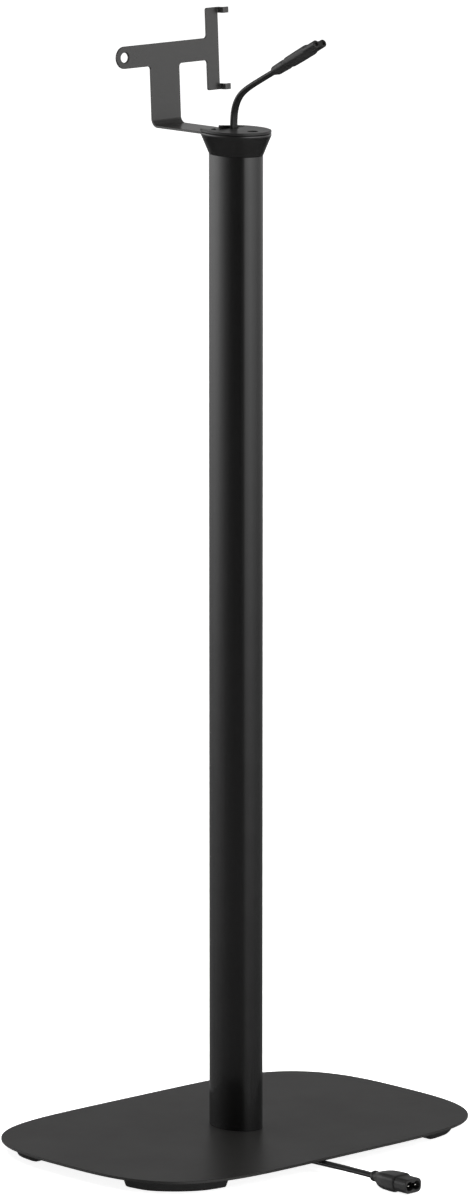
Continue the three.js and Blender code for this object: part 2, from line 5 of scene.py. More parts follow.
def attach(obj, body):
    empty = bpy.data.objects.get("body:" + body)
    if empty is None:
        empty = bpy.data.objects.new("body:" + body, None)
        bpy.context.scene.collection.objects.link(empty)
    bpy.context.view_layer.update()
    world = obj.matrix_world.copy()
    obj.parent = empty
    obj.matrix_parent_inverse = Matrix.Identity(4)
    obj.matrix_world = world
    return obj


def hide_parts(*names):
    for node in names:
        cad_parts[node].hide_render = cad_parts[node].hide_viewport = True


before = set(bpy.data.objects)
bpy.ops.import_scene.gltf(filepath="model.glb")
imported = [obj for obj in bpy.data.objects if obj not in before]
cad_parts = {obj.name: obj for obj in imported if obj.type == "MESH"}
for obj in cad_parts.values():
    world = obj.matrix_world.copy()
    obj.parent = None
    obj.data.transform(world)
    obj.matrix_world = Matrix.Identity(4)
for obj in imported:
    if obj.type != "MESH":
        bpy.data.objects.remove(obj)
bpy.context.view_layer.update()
MM = 0.001
TAU = 2 * math.pi

# ------------------------------------------------------------------ camera
cam_data = bpy.data.cameras.new("camera")
cam = bpy.data.objects.new("camera", cam_data)
bpy.context.scene.collection.objects.link(cam)
bpy.context.scene.camera = cam
F = Vector((0.67100526, 0.71924904, -0.18009097)).normalized()
R = Vector((0.73120426, -0.68215859, 0.0)).normalized()
F = (F - R * F.dot(R)).normalized()
U = R.cross(F)
cam.matrix_world = Matrix((
    (R.x, U.x, -F.x, -5.1064), (R.y, U.y, -F.y, -5.4736), (R.z, U.z, -F.z, 1.8735), (0, 0, 0, 1)))
cam_data.sensor_width = 36.0
cam_data.lens = 8384.17 / 1200 * 36.0
cam_data.clip_start, cam_data.clip_end = 0.05, 400

# ------------------------------------------------------------------ helpers
def link(name, mesh):
    o = bpy.data.objects.new(name, mesh)
    bpy.context.scene.collection.objects.link(o)
    return o


def from_pydata(name, verts, faces):
    me = bpy.data.meshes.new(name)
    me.from_pydata([tuple(c * MM for c in v) for v in verts], [], faces)
    me.update()
    return link(name, me)


def tidy(o, angle=35.0, merge=1e-6):
    """Welds, points the normals out and keeps only real edges sharp."""
    bm = bmesh.new()
    bm.from_mesh(o.data)
    bmesh.ops.remove_doubles(bm, verts=bm.verts, dist=merge)
    bmesh.ops.dissolve_degenerate(bm, edges=bm.edges, dist=merge)
    bmesh.ops.recalc_face_normals(bm, faces=bm.faces)
    bm.to_mesh(o.data)
    bm.free()
    for p in o.data.polygons:
        p.use_smooth = True
    o.data.set_sharp_from_angle(angle=math.radians(angle))
    return o


def loft(name, rings, caps=True, angle=35.0):
    """Closed rings of equal count, in millimetres, skinned one to the next."""
    n = len(rings[0])
    verts = [p for r in rings for p in r]
    faces = []
    for k in range(len(rings) - 1):
        for i in range(n):
            j = (i + 1) % n
            faces.append((k * n + i, k * n + j, (k + 1) * n + j, (k + 1) * n + i))
    if caps:
        faces.append(tuple(range(n - 1, -1, -1)))
        faces.append(tuple((len(rings) - 1) * n + i for i in range(n)))
    return tidy(from_pydata(name, verts, faces), angle)


def flat_piece(name, outlines, t, bevel=0.3, steps=3, angle=35.0):
    """Plate from closed outlines in the XY plane (the first is the edge, the rest are
    holes), t thick about z = 0, with rolled edges."""
    cu = bpy.data.curves.new(name, "CURVE")
    cu.dimensions = "2D"
    cu.fill_mode = "BOTH"
    cu.extrude = (t / 2 - bevel) * MM
    cu.bevel_depth = bevel * MM
    cu.bevel_resolution = steps
    cu.offset = -bevel * MM
    for pts in outlines:
        sp = cu.splines.new("POLY")
        sp.points.add(len(pts) - 1)
        for q, (x, y) in zip(sp.points, pts):
            q.co = (x * MM, y * MM, 0, 1)
        sp.use_cyclic_u = True
    tmp = bpy.data.objects.new(name + "_curve", cu)
    bpy.context.scene.collection.objects.link(tmp)
    dg = bpy.context.evaluated_depsgraph_get()
    me = bpy.data.meshes.new_from_object(tmp.evaluated_get(dg))
    bpy.data.objects.remove(tmp)
    me.name = name
    return tidy(link(name, me), angle, 2e-6)


def move(o, m):
    o.data.transform(m)
    o.data.update()
    return o


def boolean(o, others, op="DIFFERENCE", angle=35.0):
    for c in others:
        md = o.modifiers.new("b", "BOOLEAN")
        md.operation, md.solver, md.object = op, "EXACT", c
        dg = bpy.context.evaluated_depsgraph_get()
        me = bpy.data.meshes.new_from_object(o.evaluated_get(dg))
        o.modifiers.clear()
        old = o.data
        o.data = me
        bpy.data.meshes.remove(old)
        bpy.data.objects.remove(c)
    return tidy(o, angle, 1e-6)


def ell(a, b, z, n=192, x=0.0, y=0.0):
    return [(x + a * math.cos(TAU * i / n), y + b * math.sin(TAU * i / n), z) for i in range(n)]


def pillar(r, z0, z1, x=0, y=0, n=64, r1=None):
    return loft("cutter", [ell(r, r, z0, n, x, y), ell(r1 or r, r1 or r, z1, n, x, y)])


def block(x0, x1, y0, y1, z0, z1):
    q = [(x0, y0), (x1, y0), (x1, y1), (x0, y1)]
    return loft("cutter", [[(x, y, z0) for x, y in q], [(x, y, z1) for x, y in q]])


def arc(cx, cy, r, a0, a1, n=8):
    return [(cx + r * math.cos(math.radians(a0 + (a1 - a0) * i / n)),
             cy + r * math.sin(math.radians(a0 + (a1 - a0) * i / n))) for i in range(n + 1)]


def centripetal(pts, per=12):
    """Smooth curve through points, the same rule as the CAD route."""
    P = [Vector(p) for p in pts]
    P = [P[0] * 2 - P[1]] + P + [P[-1] * 2 - P[-2]]
    out = []
    for k in range(1, len(P) - 2):
        p0, p1, p2, p3 = P[k - 1:k + 3]
        d0 = max((p1 - p0).length ** 0.5, 1e-4)
        d1 = max((p2 - p1).length ** 0.5, 1e-4)
        d2 = max((p3 - p2).length ** 0.5, 1e-4)
        t1 = ((p1 - p0) / d0 - (p2 - p0) / (d0 + d1) + (p2 - p1) / d1) * d1
        t2 = ((p2 - p1) / d1 - (p3 - p1) / (d1 + d2) + (p3 - p2) / d2) * d1
        for i in range(per):
            s = i / per
            out.append(p1 * (2 * s ** 3 - 3 * s ** 2 + 1) + t1 * (s ** 3 - 2 * s ** 2 + s)
                       + p2 * (-2 * s ** 3 + 3 * s ** 2) + t2 * (s ** 3 - s ** 2))
    out.append(P[-2].copy())
    return out


def flat_cord(name, line, a=3.75, b=2.45, n=40):
    """Flat two-core cord along a line, its wide side across X."""
    rings = []
    for i, p in enumerate(line):
        t = (line[min(i + 1, len(line) - 1)] - line[max(i - 1, 0)]).normalized()
        w = (Vector((1, 0, 0)) - t * t.x).normalized()
        h = t.cross(w)
        ring = []
        for k in range(n):
            u = TAU * k / n
            c, s = math.cos(u), math.sin(u)
            # oval with slightly flattened sides and the faint valley between the cores
            x = a * math.copysign(abs(c) ** 0.84, c)
            y = b * math.copysign(abs(s) ** 0.84, s) * (1 - 0.075 * math.exp(-(c / 0.26) ** 2))
            ring.append(tuple(p + w * x + h * y))
        rings.append(ring)
    return loft(name, rings, angle=60)


def even_shading(o):
    """Normals weighted by face area, so broad flats stay flat beside their rolled edges."""
    md = o.modifiers.new("w", "WEIGHTED_NORMAL")
    md.mode, md.weight, md.keep_sharp = "FACE_AREA", 60, True
    dg = bpy.context.evaluated_depsgraph_get()
    me = bpy.data.meshes.new_from_object(o.evaluated_get(dg))
    o.modifiers.clear()
    old = o.data
    o.data = me
    bpy.data.meshes.remove(old)


def wears(o, material, body="root"):
    if body:
        even_shading(o)
    o.data.materials.clear()
    o.data.materials.append(material)
    for p in o.data.polygons:
        p.material_index = 0
    if body:
        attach(o, body)
    return o


# ---------------------------------------------------------------- materials
class Nodes:
    def __init__(self, name):
        self.m = bpy.data.materials.new(name)
        self.m.use_nodes = True
        self.t = self.m.node_tree
        self.b = self.t.nodes["Principled BSDF"]
        self.co = self.add("ShaderNodeTexCoord").outputs["Object"]

    def add(self, kind, **props):
        n = self.t.nodes.new(kind)
        for k, v in props.items():
            setattr(n, k, v)
        return n

    def put(self, a, b):
        self.t.links.new(a, b)

    def noise(self, scale, detail=3.0, rough=0.55, stretch=None, kind="noise"):
        co = self.co
        if stretch:
            mp = self.add("ShaderNodeMapping")
            mp.inputs["Scale"].default_value = stretch
            self.put(co, mp.inputs["Vector"])
            co = mp.outputs["Vector"]
        if kind == "voronoi":
            n = self.add("ShaderNodeTexVoronoi")
            n.inputs["Scale"].default_value = scale
            self.put(co, n.inputs["Vector"])
            return n.outputs["Distance"]
        n = self.add("ShaderNodeTexNoise")
        n.inputs["Scale"].default_value = scale
        n.inputs["Detail"].default_value = detail
        n.inputs["Roughness"].default_value = rough
        self.put(co, n.inputs["Vector"])
        return n.outputs["Fac"]

    def ramp(self, fac, stops):
        r = self.add("ShaderNodeValToRGB")
        e = r.color_ramp.elements
        while len(e) < len(stops):
            e.new(0.5)
        for el, (p, c) in zip(e, stops):
            el.position = p
            el.color = (*c, 1) if len(c) == 3 else c
        self.put(fac, r.inputs["Fac"])
        return r.outputs["Color"]

    def span(self, fac, lo, hi, a=0.0, b=1.0):
        r = self.add("ShaderNodeMapRange")
        r.inputs["From Min"].default_value = lo
        r.inputs["From Max"].default_value = hi
        r.inputs["To Min"].default_value = a
        r.inputs["To Max"].default_value = b
        self.put(fac, r.inputs["Value"])
        return r.outputs["Result"]

    def mix(self, fac, a, b, mode="MIX"):
        x = self.add("ShaderNodeMix", data_type="RGBA", blend_type=mode)
        if isinstance(fac, float):
            x.inputs[0].default_value = fac
        else:
            self.put(fac, x.inputs[0])
        for s, v in ((x.inputs[6], a), (x.inputs[7], b)):
            if isinstance(v, tuple):
                s.default_value = (*v, 1)
            else:
                self.put(v, s)
        return x.outputs[2]

    def math(self, op, a, b):
        x = self.add("ShaderNodeMath", operation=op)
        for s, v in ((x.inputs[0], a), (x.inputs[1], b)):
            if isinstance(v, float):
                s.default_value = v
            else:
                self.put(v, s)
        return x.outputs[0]

    def bump(self, height, strength, distance):
        x = self.add("ShaderNodeBump")
        x.inputs["Strength"].default_value = strength
        x.inputs["Distance"].default_value = distance
        self.put(height, x.inputs["Height"])
        if self.b.inputs["Normal"].is_linked:
            self.put(self.b.inputs["Normal"].links[0].from_socket, x.inputs["Normal"])
        self.put(x.outputs["Normal"], self.b.inputs["Normal"])

    def edges(self):
        """1 on outer edges, where handling has polished the finish."""
        g = self.add("ShaderNodeNewGeometry").outputs["Pointiness"]
        return self.span(g, 0.53, 0.60)


def grey(v, warm=0.0):
    return (v * (1 + warm), v, v * (1 - warm))


def powder_coat(name, dark, light, rough, spec, peel=0.25, warm=0.03):
    """Fine satin powder coat: orange peel, grain and faint cloudiness."""
    n = Nodes(name)
    cloud = n.noise(14, 4)
    grain = n.noise(2600, 2, 0.6)
    col = n.ramp(cloud, [(0.3, grey(dark, warm)), (0.7, grey(light, warm))])
    col = n.mix(n.span(grain, 0.58, 0.74, 0.0, 0.5), col, grey(light * 1.7, warm))
    wear = n.math("MULTIPLY", n.edges(), n.span(n.noise(90, 4), 0.42, 0.62))
    col = n.mix(n.math("MULTIPLY", wear, 0.35), col, grey(light * 2.2, warm))
    n.put(col, n.b.inputs["Base Color"])
    r = n.math("ADD", n.span(cloud, 0.3, 0.7, rough - 0.02, rough + 0.025), n.span(grain, 0.3, 0.7, -0.02, 0.02))
    n.put(n.math("SUBTRACT", r, n.math("MULTIPLY", wear, 0.08)), n.b.inputs["Roughness"])
    n.b.inputs["Specular IOR Level"].default_value = spec
    n.bump(n.noise(620, 2, 0.5), peel, 0.00006)
    n.bump(grain, 0.16, 0.00004)
    return n.m


def extruded(name, dark, light, rough, spec):
    """Satin black anodised extrusion: faint draw lines along its length."""
    n = Nodes(name)
    lines = n.noise(1.0, 3, 0.6, stretch=(1900, 1900, 2.5))
    broad = n.noise(1.0, 2, 0.5, stretch=(260, 260, 1.2))
    cloud = n.noise(9, 3)
    col = n.ramp(cloud, [(0.3, grey(dark)), (0.7, grey(light))])
    col = n.mix(n.span(lines, 0.5, 0.72, 0.0, 0.28), col, grey(light * 1.9, 0.01))
    n.put(col, n.b.inputs["Base Color"])
    r = n.math("ADD", n.span(lines, 0.3, 0.7, rough - 0.02, rough + 0.03), n.span(n.noise(60, 4), 0.35, 0.65, -0.01, 0.015))
    n.put(r, n.b.inputs["Roughness"])
    n.b.inputs["Specular IOR Level"].default_value = spec
    n.bump(broad, 0.10, 0.00003)
    n.bump(lines, 0.07, 0.00002)
    return n.m


def moulded(name, dark, light, rough, spec, texture=1500, depth=0.00004, strength=0.2):
    """Moulded plastic: eroded mould texture, flow clouds and polished edges."""
    n = Nodes(name)
    cloud = n.noise(55, 4)
    cells = n.noise(texture, 3, 0.6)
    col = n.ramp(cloud, [(0.3, grey(dark, 0.01)), (0.72, grey(light, 0.01))])
    wear = n.math("MULTIPLY", n.edges(), n.span(n.noise(240, 3), 0.4, 0.62))
    col = n.mix(n.math("MULTIPLY", wear, 0.3), col, grey(light * 2.4))
    n.put(col, n.b.inputs["Base Color"])
    r = n.math("ADD", n.span(cloud, 0.3, 0.7, rough - 0.03, rough + 0.03), n.span(cells, 0.3, 0.7, -0.03, 0.03))
    n.put(n.math("SUBTRACT", r, n.math("MULTIPLY", wear, 0.1)), n.b.inputs["Roughness"])
    n.b.inputs["Specular IOR Level"].default_value = spec
    n.bump(cells, strength, depth)
    return n.m


def rubber(name, dark, light):
    n = Nodes(name)
    cloud = n.noise(45, 4)
    fine = n.noise(1900, 4, 0.7)
    col = n.ramp(cloud, [(0.3, grey(dark)), (0.75, grey(light))])
    # dust settled in the texture
    col = n.mix(n.span(fine, 0.60, 0.80, 0.0, 0.35), col, grey(light * 3.2, 0.04))
    n.put(col, n.b.inputs["Base Color"])
    n.put(n.span(fine, 0.3, 0.7, 0.62, 0.78), n.b.inputs["Roughness"])
    n.b.inputs["Specular IOR Level"].default_value = 0.32
    n.bump(fine, 0.3, 0.00006)
    return n.m


def pvc(name, dark, light, rough, spec):
    """Flexible sheath: soft sheen, faint bumps and handling marks."""
    n = Nodes(name)
    cloud = n.noise(80, 4)
    fine = n.noise(1400, 3, 0.6)
    col = n.ramp(cloud, [(0.3, grey(dark)), (0.72, grey(light))])
    col = n.mix(n.span(n.noise(420, 5, 0.7), 0.62, 0.78, 0.0, 0.25), col, grey(light * 2.6))
    n.put(col, n.b.inputs["Base Color"])
    r = n.math("ADD", n.span(cloud, 0.3, 0.7, rough - 0.04, rough + 0.05), n.span(fine, 0.3, 0.7, -0.03, 0.03))
    n.put(r, n.b.inputs["Roughness"])
    n.b.inputs["Specular IOR Level"].default_value = spec
    n.bump(n.noise(300, 2), 0.12, 0.0001)
    n.bump(fine, 0.14, 0.00004)
    return n.m


def plated(name, dark, light, rough):
    """Plated metal with fine turning marks and slight tarnish."""
    n = Nodes(name)
    marks = n.noise(1.0, 4, 0.65, stretch=(500, 4200, 500))
    cloud = n.noise(260, 4)
    col = n.ramp(cloud, [(0.3, dark), (0.7, light)])
    n.put(col, n.b.inputs["Base Color"])
    n.b.inputs["Metallic"].default_value = 1.0
    r = n.math("ADD", n.span(cloud, 0.3, 0.7, rough - 0.03, rough + 0.08), n.span(marks, 0.3, 0.7, -0.03, 0.06))
    n.put(r, n.b.inputs["Roughness"])
    n.bump(marks, 0.18, 0.00002)
    return n.m


M_BASE = powder_coat("base_powder_coat", 0.0118, 0.0146, 0.40, 0.38)
M_BRACKET = powder_coat("bracket_powder_coat", 0.017, 0.022, 0.30, 0.6)
M_COLUMN = extruded("column_anodised", 0.0050, 0.0062, 0.14, 0.50)
M_COLLAR = moulded("collar_plastic", 0.0085, 0.0108, 0.19, 0.55, strength=0.07)
M_CAP = moulded("cap_plastic", 0.010, 0.013, 0.34, 0.4, texture=1100, strength=0.14)
M_RUBBER = rubber("foot_rubber", 0.010, 0.014)
M_PVC = pvc("lead_pvc", 0.0085, 0.0125, 0.36, 0.5)
M_MOULD = moulded("connector_pvc", 0.0125, 0.018, 0.38, 0.5, texture=1700)
M_CLIP = moulded("clip_nylon", 0.012, 0.016, 0.42, 0.5)
M_ZINC = plated("zinc_plate", (0.36, 0.37, 0.38), (0.52, 0.53, 0.53), 0.28)
M_NICKEL = plated("nickel_plate", (0.70, 0.68, 0.63), (0.86, 0.84, 0.80), 0.14)
M_SCREW = powder_coat("screw_black", 0.010, 0.014, 0.30, 0.5, peel=0.1, warm=0.0)
M_INSIDE = moulded("socket_inside", 0.003, 0.005, 0.5, 0.3)

# --------------------------------------------------------------- dimensions
PLATE_Z, PLATE_TOP = 10.6, 13.1
COL_P, COL_Q = 20.5, 28.4
CAP_P, CAP_Q = 28.5, 35.6
EXIT_X, EXIT_Y, CAP_TOP = 4.0, 7.2, 933.1
SCREWS = [("front", 0, -21.6), ("rear", 0, 21.6), ("left", -13.7, 0), ("right", 13.7, 0)]
LOW_X, LOW_Z, LOW_REAR_Y, LOW_LEN = -23.6, 7.75, -206.6, 51.2
TILT = math.radians(27.2)
TOP_REAR = Vector((EXIT_X, -47.4, 989.3))
TOP_LEN = 64.8
PITCH = 8.6

# -------------------------------------------------------------------- cords
plug_dir = Vector((0, -math.cos(TILT), math.sin(TILT)))
top_route = [(EXIT_X, y, z) for y, z in (
    (7.2, CAP_TOP - 0.3), (7.15, 937.5), (7.0, 940.5), (6.3, 947.1), (4.4, 953.9), (2.1, 958.4), (-0.6, 962.2),
    (-4.9, 966.3), (-10.6, 970.2), (-18.4, 974.6), (-26.9, 979.0), (-37.0, 984.15))]
top_route.append(tuple(TOP_REAR - plug_dir * 0.1))
inner_route = [
    (EXIT_X, EXIT_Y, CAP_TOP - 0.35), (EXIT_X, EXIT_Y - 0.05, 900), (3.0, 6.6, 860), (0.5, 4.0, 760), (-0.5, 3.0, 450),
    (-1.5, 4.5, 200), (-3.0, 8.0, 70), (-3.2, 8.0, 42), (-3.6, 4.6, 25), (-4.6, -2.5, 13), (-6.9, -12.5, 6.4),
    (-9.6, -22.0, 4.9), (-12.6, -36.0, 4.9), (-17.6, -66.0, 5.4), (-21.8, -96.0, 6.2), (-23.2, -116.0, 6.7),
    (LOW_X, -131.0, 7.0)]
low_route = [(LOW_X, -131.1, 7.0), (LOW_X, -150, 7.35), (LOW_X, -176, 7.65), (LOW_X, LOW_REAR_Y + 0.1, LOW_Z)]

top_line = centripetal(top_route, 6)
inner_line = centripetal(inner_route, 10)
low_line = centripetal(low_route, 12)


lead_top = wears(flat_cord("lead_above_cap", top_line), M_PVC)
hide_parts("mains_lead_top")
lead_low = wears(flat_cord("lead_on_floor", low_line), M_PVC)
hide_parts("mains_lead_bottom")
lead_in = wears(flat_cord("lead_inside", inner_line), M_PVC)
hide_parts("mains_lead_inner")


# --------------------------------------------------------------- connectors
def section(w, h, r, s, n=72, power=2.0):
    """Rounded rectangle in the XZ plane at distance s."""
    pts = []
    hx, hz = w / 2 - r, h / 2 - r
    for i in range(n):
        u = TAU * (i + 0.5) / n
        c, q = math.cos(u), math.sin(u)
        pts.append((math.copysign(hx, c) + r * math.copysign(abs(c) ** (2 / power), c), s,
                    math.copysign(hz, q) + r * math.copysign(abs(q) ** (2 / power), q)))
    return pts


def blend_rows(rows, step=0.8):
    """Rows of (s, w, h, r) eased into one another."""
    out = [rows[0]]
    for a, b in zip(rows, rows[1:]):
        k = max(1, int(round((b[0] - a[0]) / step)))
        for i in range(1, k + 1):
            f = i / k
            out.append(tuple(a[j] + (b[j] - a[j]) * f for j in range(4)))
    # soften the joints between rows
    for _ in range(2):
        out = [out[0]] + [
            (out[i][0], *(0.25 * out[i - 1][j] + 0.5 * out[i][j] + 0.25 * out[i + 1][j] for j in (1, 2, 3)))
            if out[i + 1][0] - out[i - 1][0] > 0.9 else out[i]
            for i in range(1, len(out) - 1)] + [out[-1]]
    return out


def along(rows, name="part", n=72, angle=35.0, power=2.0):
    return loft(name, [section(w, h, r, s, n, power) for s, w, h, r in rows], angle=angle)


def cyl_y(r, y0, y1, x=0, z=0, n=48, r1=None):
    r1 = r if r1 is None else r1
    a = [(x + r * math.cos(TAU * i / n), y0, z + r * math.sin(TAU * i / n)) for i in range(n)]
    b = [(x + r1 * math.cos(TAU * i / n), y1, z + r1 * math.sin(TAU * i / n)) for i in range(n)]
    return loft("cutter", [a, b])


def seat(axis, at):
    """Matrix that carries +Y onto axis and the origin onto at."""
    x = Vector((1 if axis.y > 0 else -1, 0, 0))
    z = x.cross(axis)
    return Matrix(((x.x, axis.x, z.x, at.x * MM), (x.y, axis.y, z.y, at.y * MM), (x.z, axis.z, z.z, at.z * MM), (0, 0, 0, 1)))


# female connector above the cap
rows = blend_rows([
    (0.0, 10.2, 6.8, 3.3), (0.5, 11.4, 7.8, 3.8), (1.3, 12.1, 8.5, 4.1), (8.0, 12.6, 8.8, 4.2), (16.0, 13.1, 9.1, 4.3),
    (17.4, 12.9, 8.9, 4.2), (18.2, 12.3, 8.2, 3.9), (19.4, 12.3, 8.2, 3.9), (20.4, 13.9, 9.0, 4.1), (21.6, 14.7, 9.5, 4.2),
    (35.0, 15.3, 9.8, 4.2), (49.4, 15.8, 9.8, 4.2), (51.0, 15.6, 9.6, 4.1), (52.0, 15.0, 9.0, 3.8), (52.5, 14.2, 8.2, 3.5),
])
body = along(rows, "connector_above_cap")
lobes = []
for sx in (-1, 1):
    x = sx * PITCH / 2
    k = 48
    rings = []
    for s, r in ((TOP_LEN - 16, 3.72), (TOP_LEN - 0.7, 3.62), (TOP_LEN - 0.2, 3.45), (TOP_LEN, 3.1)):
        rings.append([(x + r * math.cos(TAU * i / k), s, r * math.sin(TAU * i / k)) for i in range(k)])
    lobes.append(loft("cutter", rings))
web = along([(TOP_LEN - 16, PITCH, 5.0, 0.6), (TOP_LEN - 0.5, PITCH, 5.0, 0.6), (TOP_LEN - 0.02, PITCH - 0.1, 4.4, 0.5)], "cutter", 40)
boolean(body, lobes + [web], "UNION")
cuts = [cyl_y(1.6, TOP_LEN - 15, TOP_LEN + 1, sx * PITCH / 2, 0) for sx in (-1, 1)]
cuts += [cyl_y(1.6, TOP_LEN - 0.55, TOP_LEN + 0.2, sx * PITCH / 2, 0, r1=2.1) for sx in (-1, 1)]
# shallow finger grooves across the two broad sides of the grip
for k in range(5):
    s = 4.2 + 2.6 * k
    for sz in (-1, 1):
        cuts.append(along([(s, 7.6, 0.9, 0.4), (s + 0.9, 7.6, 0.9, 0.4)], "cutter", 24))
        move(cuts[-1], Matrix.Translation((0, 0, sz * 4.42 * MM)))
boolean(body, cuts)
move(body, seat(plug_dir, TOP_REAR))
wears(body, M_MOULD)
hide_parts("connector_top_body")

# male inlet on the floor
rows = blend_rows([
    (0.0, 8.6, 8.4, 4.1), (0.35, 9.6, 9.4, 4.6), (0.8, 10.0, 9.8, 4.8), (2.9, 10.2, 10.0, 4.9), (3.4, 9.9, 9.5, 4.6),
    (3.8, 9.3, 8.7, 4.3), (4.6, 9.5, 8.9, 4.2), (6.2, 10.4, 9.6, 4.3), (9.0, 13.2, 11.2, 4.5), (12.0, 16.2, 12.8, 4.6),
    (16.0, 19.4, 14.2, 4.6), (21.0, 21.5, 15.0, 4.6), (29.0, 22.3, 15.35, 4.5), (34.9, 22.4, 15.35, 4.4),
    (35.7, 22.2, 15.1, 4.3), (36.2, 21.5, 14.4, 4.2),
], 0.7)
inlet = along(rows, "inlet_on_floor", 96, power=2.2)
nose = along([(33.0, 20.3, 13.1, 5.0), (LOW_LEN - 0.7, 20.3, 13.1, 5.0), (LOW_LEN - 0.25, 20.1, 12.9, 4.9), (LOW_LEN, 19.6, 12.4, 4.7)],
             "cutter", 96, power=2.2)
boolean(inlet, [nose], "UNION")
cuts = [cyl_y(4.2, LOW_LEN - 13.5, LOW_LEN + 5, sx * PITCH / 2, 0, 56) for sx in (-1, 1)]
cuts.append(along([(LOW_LEN - 13.5, PITCH, 5.8, 0.5), (LOW_LEN + 5, PITCH, 5.8, 0.5)], "cutter", 32))
boolean(inlet, cuts)
move(inlet, seat(Vector((0, -1, 0)), Vector((LOW_X, LOW_REAR_Y, LOW_Z))))
wears(inlet, M_MOULD)
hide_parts("inlet_bottom_body")
for i, x in ((1, -PITCH / 2), (2, PITCH / 2)):
    k = 32
    rings = []
    for s, r in ((29.2, 1.2), (LOW_LEN - 3.0, 1.2), (LOW_LEN - 2.4, 1.13), (LOW_LEN - 2.0, 0.98), (LOW_LEN - 1.7, 0.72),
                 (LOW_LEN - 1.55, 0.42), (LOW_LEN - 1.5, 0.12)):
        rings.append([(x + r * math.cos(TAU * j / k), s, r * math.sin(TAU * j / k)) for j in range(k)])
    pin = loft(f"inlet_pin_{i}", rings, angle=50)
    move(pin, seat(Vector((0, -1, 0)), Vector((LOW_X, LOW_REAR_Y, LOW_Z))))
    wears(pin, M_NICKEL)
    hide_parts(f"inlet_bottom_pin_{i}")


# --------------------------------------------------------------- base plate
def superellipse(a, b, n, m, count):
    pts = []
    for i in range(count):
        t = TAU * i / count
        c, s = math.cos(t), math.sin(t)
        pts.append((a * math.copysign(abs(c) ** (2 / n), c), b * math.copysign(abs(s) ** (2 / m), s)))
    return pts


def even(pts, count):
    """The same closed outline with points at equal steps."""
    n = len(pts)
    cum = [0.0]
    for i in range(n):
        a, b = pts[i], pts[(i + 1) % n]
        cum.append(cum[-1] + math.hypot(b[0] - a[0], b[1] - a[1]))
    out, k = [], 0
    for i in range(count):
        s = cum[-1] * i / count
        while cum[k + 1] < s:
            k += 1
        f = (s - cum[k]) / (cum[k + 1] - cum[k])
        a, b = pts[k % n], pts[(k + 1) % n]
        out.append((a[0] + (b[0] - a[0]) * f, a[1] + (b[1] - a[1]) * f))
    return out


def slot_outline(xa, ya, xb, yb, r):
    d = math.degrees(math.atan2(yb - ya, xb - xa))
    return arc(xb, yb, r, d - 90, d + 90, 16) + arc(xa, ya, r, d + 90, d + 270, 16)


outline = even(superellipse(213.3, 145.5, 4.99, 2.975, 4000), 560)
holes = [slot_outline(-3.9, 3.0, -6.3, -10.0, 4.9)] + [arc(x, y, 2.3, 0, 360 - 11.25, 31) for _, x, y in SCREWS]
plate = flat_piece("base_plate_finished", [outline] + holes, 2.5, 0.5, 4)
move(plate, Matrix.Translation((0, 0, (PLATE_Z + PLATE_TOP) / 2 * MM)))
wears(plate, M_BASE)
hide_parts("base_plate")

# doubler under the plate
pts = even(superellipse(38, 44, 4, 4, 2000), 200)
holes = [slot_outline(-4.2, 2.0, -8.0, -15.6, 4.9)] + [arc(x, y, 2.3, 0, 360 - 11.25, 31) for _, x, y in SCREWS]
doubler = flat_piece("base_doubler_finished", [pts] + holes, 2.0, 0.35, 3)
move(doubler, Matrix.Translation((0, 0, 9.3 * MM)))
wears(doubler, M_BASE)
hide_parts("base_stiffener")

# --------------------------------------------------------------------- feet
foot_outer = [(-191.8, -60.1), (-192.7, -67.2), (-187.9, -88.4), (-172.9, -106.5), (-155.1, -119.0), (-139.5, -123.6), (-127.9, -124.6)]
foot_inner = [(-127.6, -102.5), (-139.0, -100.5), (-151.0, -94.0), (-161.5, -84.5), (-168.0, -73.0), (-170.0, -60.4)]


def spline2(pts, per):
    """Uniform Catmull-Rom curve through points."""
    P = [pts[0]] + list(pts) + [pts[-1]]
    out = []
    for k in range(1, len(P) - 2):
        p0, p1, p2, p3 = P[k - 1:k + 3]
        for i in range(per):
            t = i / per
            out.append(tuple(0.5 * ((2 * b) + (c - a) * t + (2 * a - 5 * b + 4 * c - d) * t * t + (3 * b - a - 3 * c + d) * t ** 3)
                             for a, b, c, d in zip(p0, p1, p2, p3)))
    out.append(tuple(pts[-1]))
    return out


def grow(pts, d):
    n = len(pts)
    area = sum(pts[i][0] * pts[(i + 1) % n][1] - pts[(i + 1) % n][0] * pts[i][1] for i in range(n))
    sg = 1 if area > 0 else -1
    out = []
    for i in range(n):
        p, a, b = Vector(pts[i]), Vector(pts[i - 1]), Vector(pts[(i + 1) % n])
        e0, e1 = (p - a).normalized(), (b - p).normalized()
        n0, n1 = Vector((e0.y, -e0.x)), Vector((e1.y, -e1.x))
        m = (n0 + n1).normalized()
        k = min(1 / max(0.4, m.dot(n0)), 1.5)
        out.append(tuple(p + m * (sg * d * k)))
    return out


loop = even(spline2(foot_outer, 12) + spline2(foot_inner, 12), 300)
for _ in range(3):      # round the four upright corners a little
    loop = [tuple(0.25 * loop[i - 1][k] + 0.5 * loop[i][k] + 0.25 * loop[(i + 1) % len(loop)][k] for k in (0, 1))
            for i in range(len(loop))]
levels = [(0.02, -0.8), (0.1, -0.45), (0.35, -0.12), (0.8, 0.15), (2.0, 0.62), (5.0, 1.6), (8.6, 2.82), (9.6, 3.12), (10.1, 3.05), (10.35, 2.8)]
for where, mx, my in (("front_left", 1, 1), ("rear_left", 1, -1), ("front_right", -1, 1), ("rear_right", -1, -1)):
    rings = [[(x * mx, y * my, z) for x, y in grow(loop, d)] for z, d in levels]
    foot = loft(f"foot_{where}_finished", rings, angle=50)
    wears(foot, M_RUBBER)
    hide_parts(f"foot_{where}")

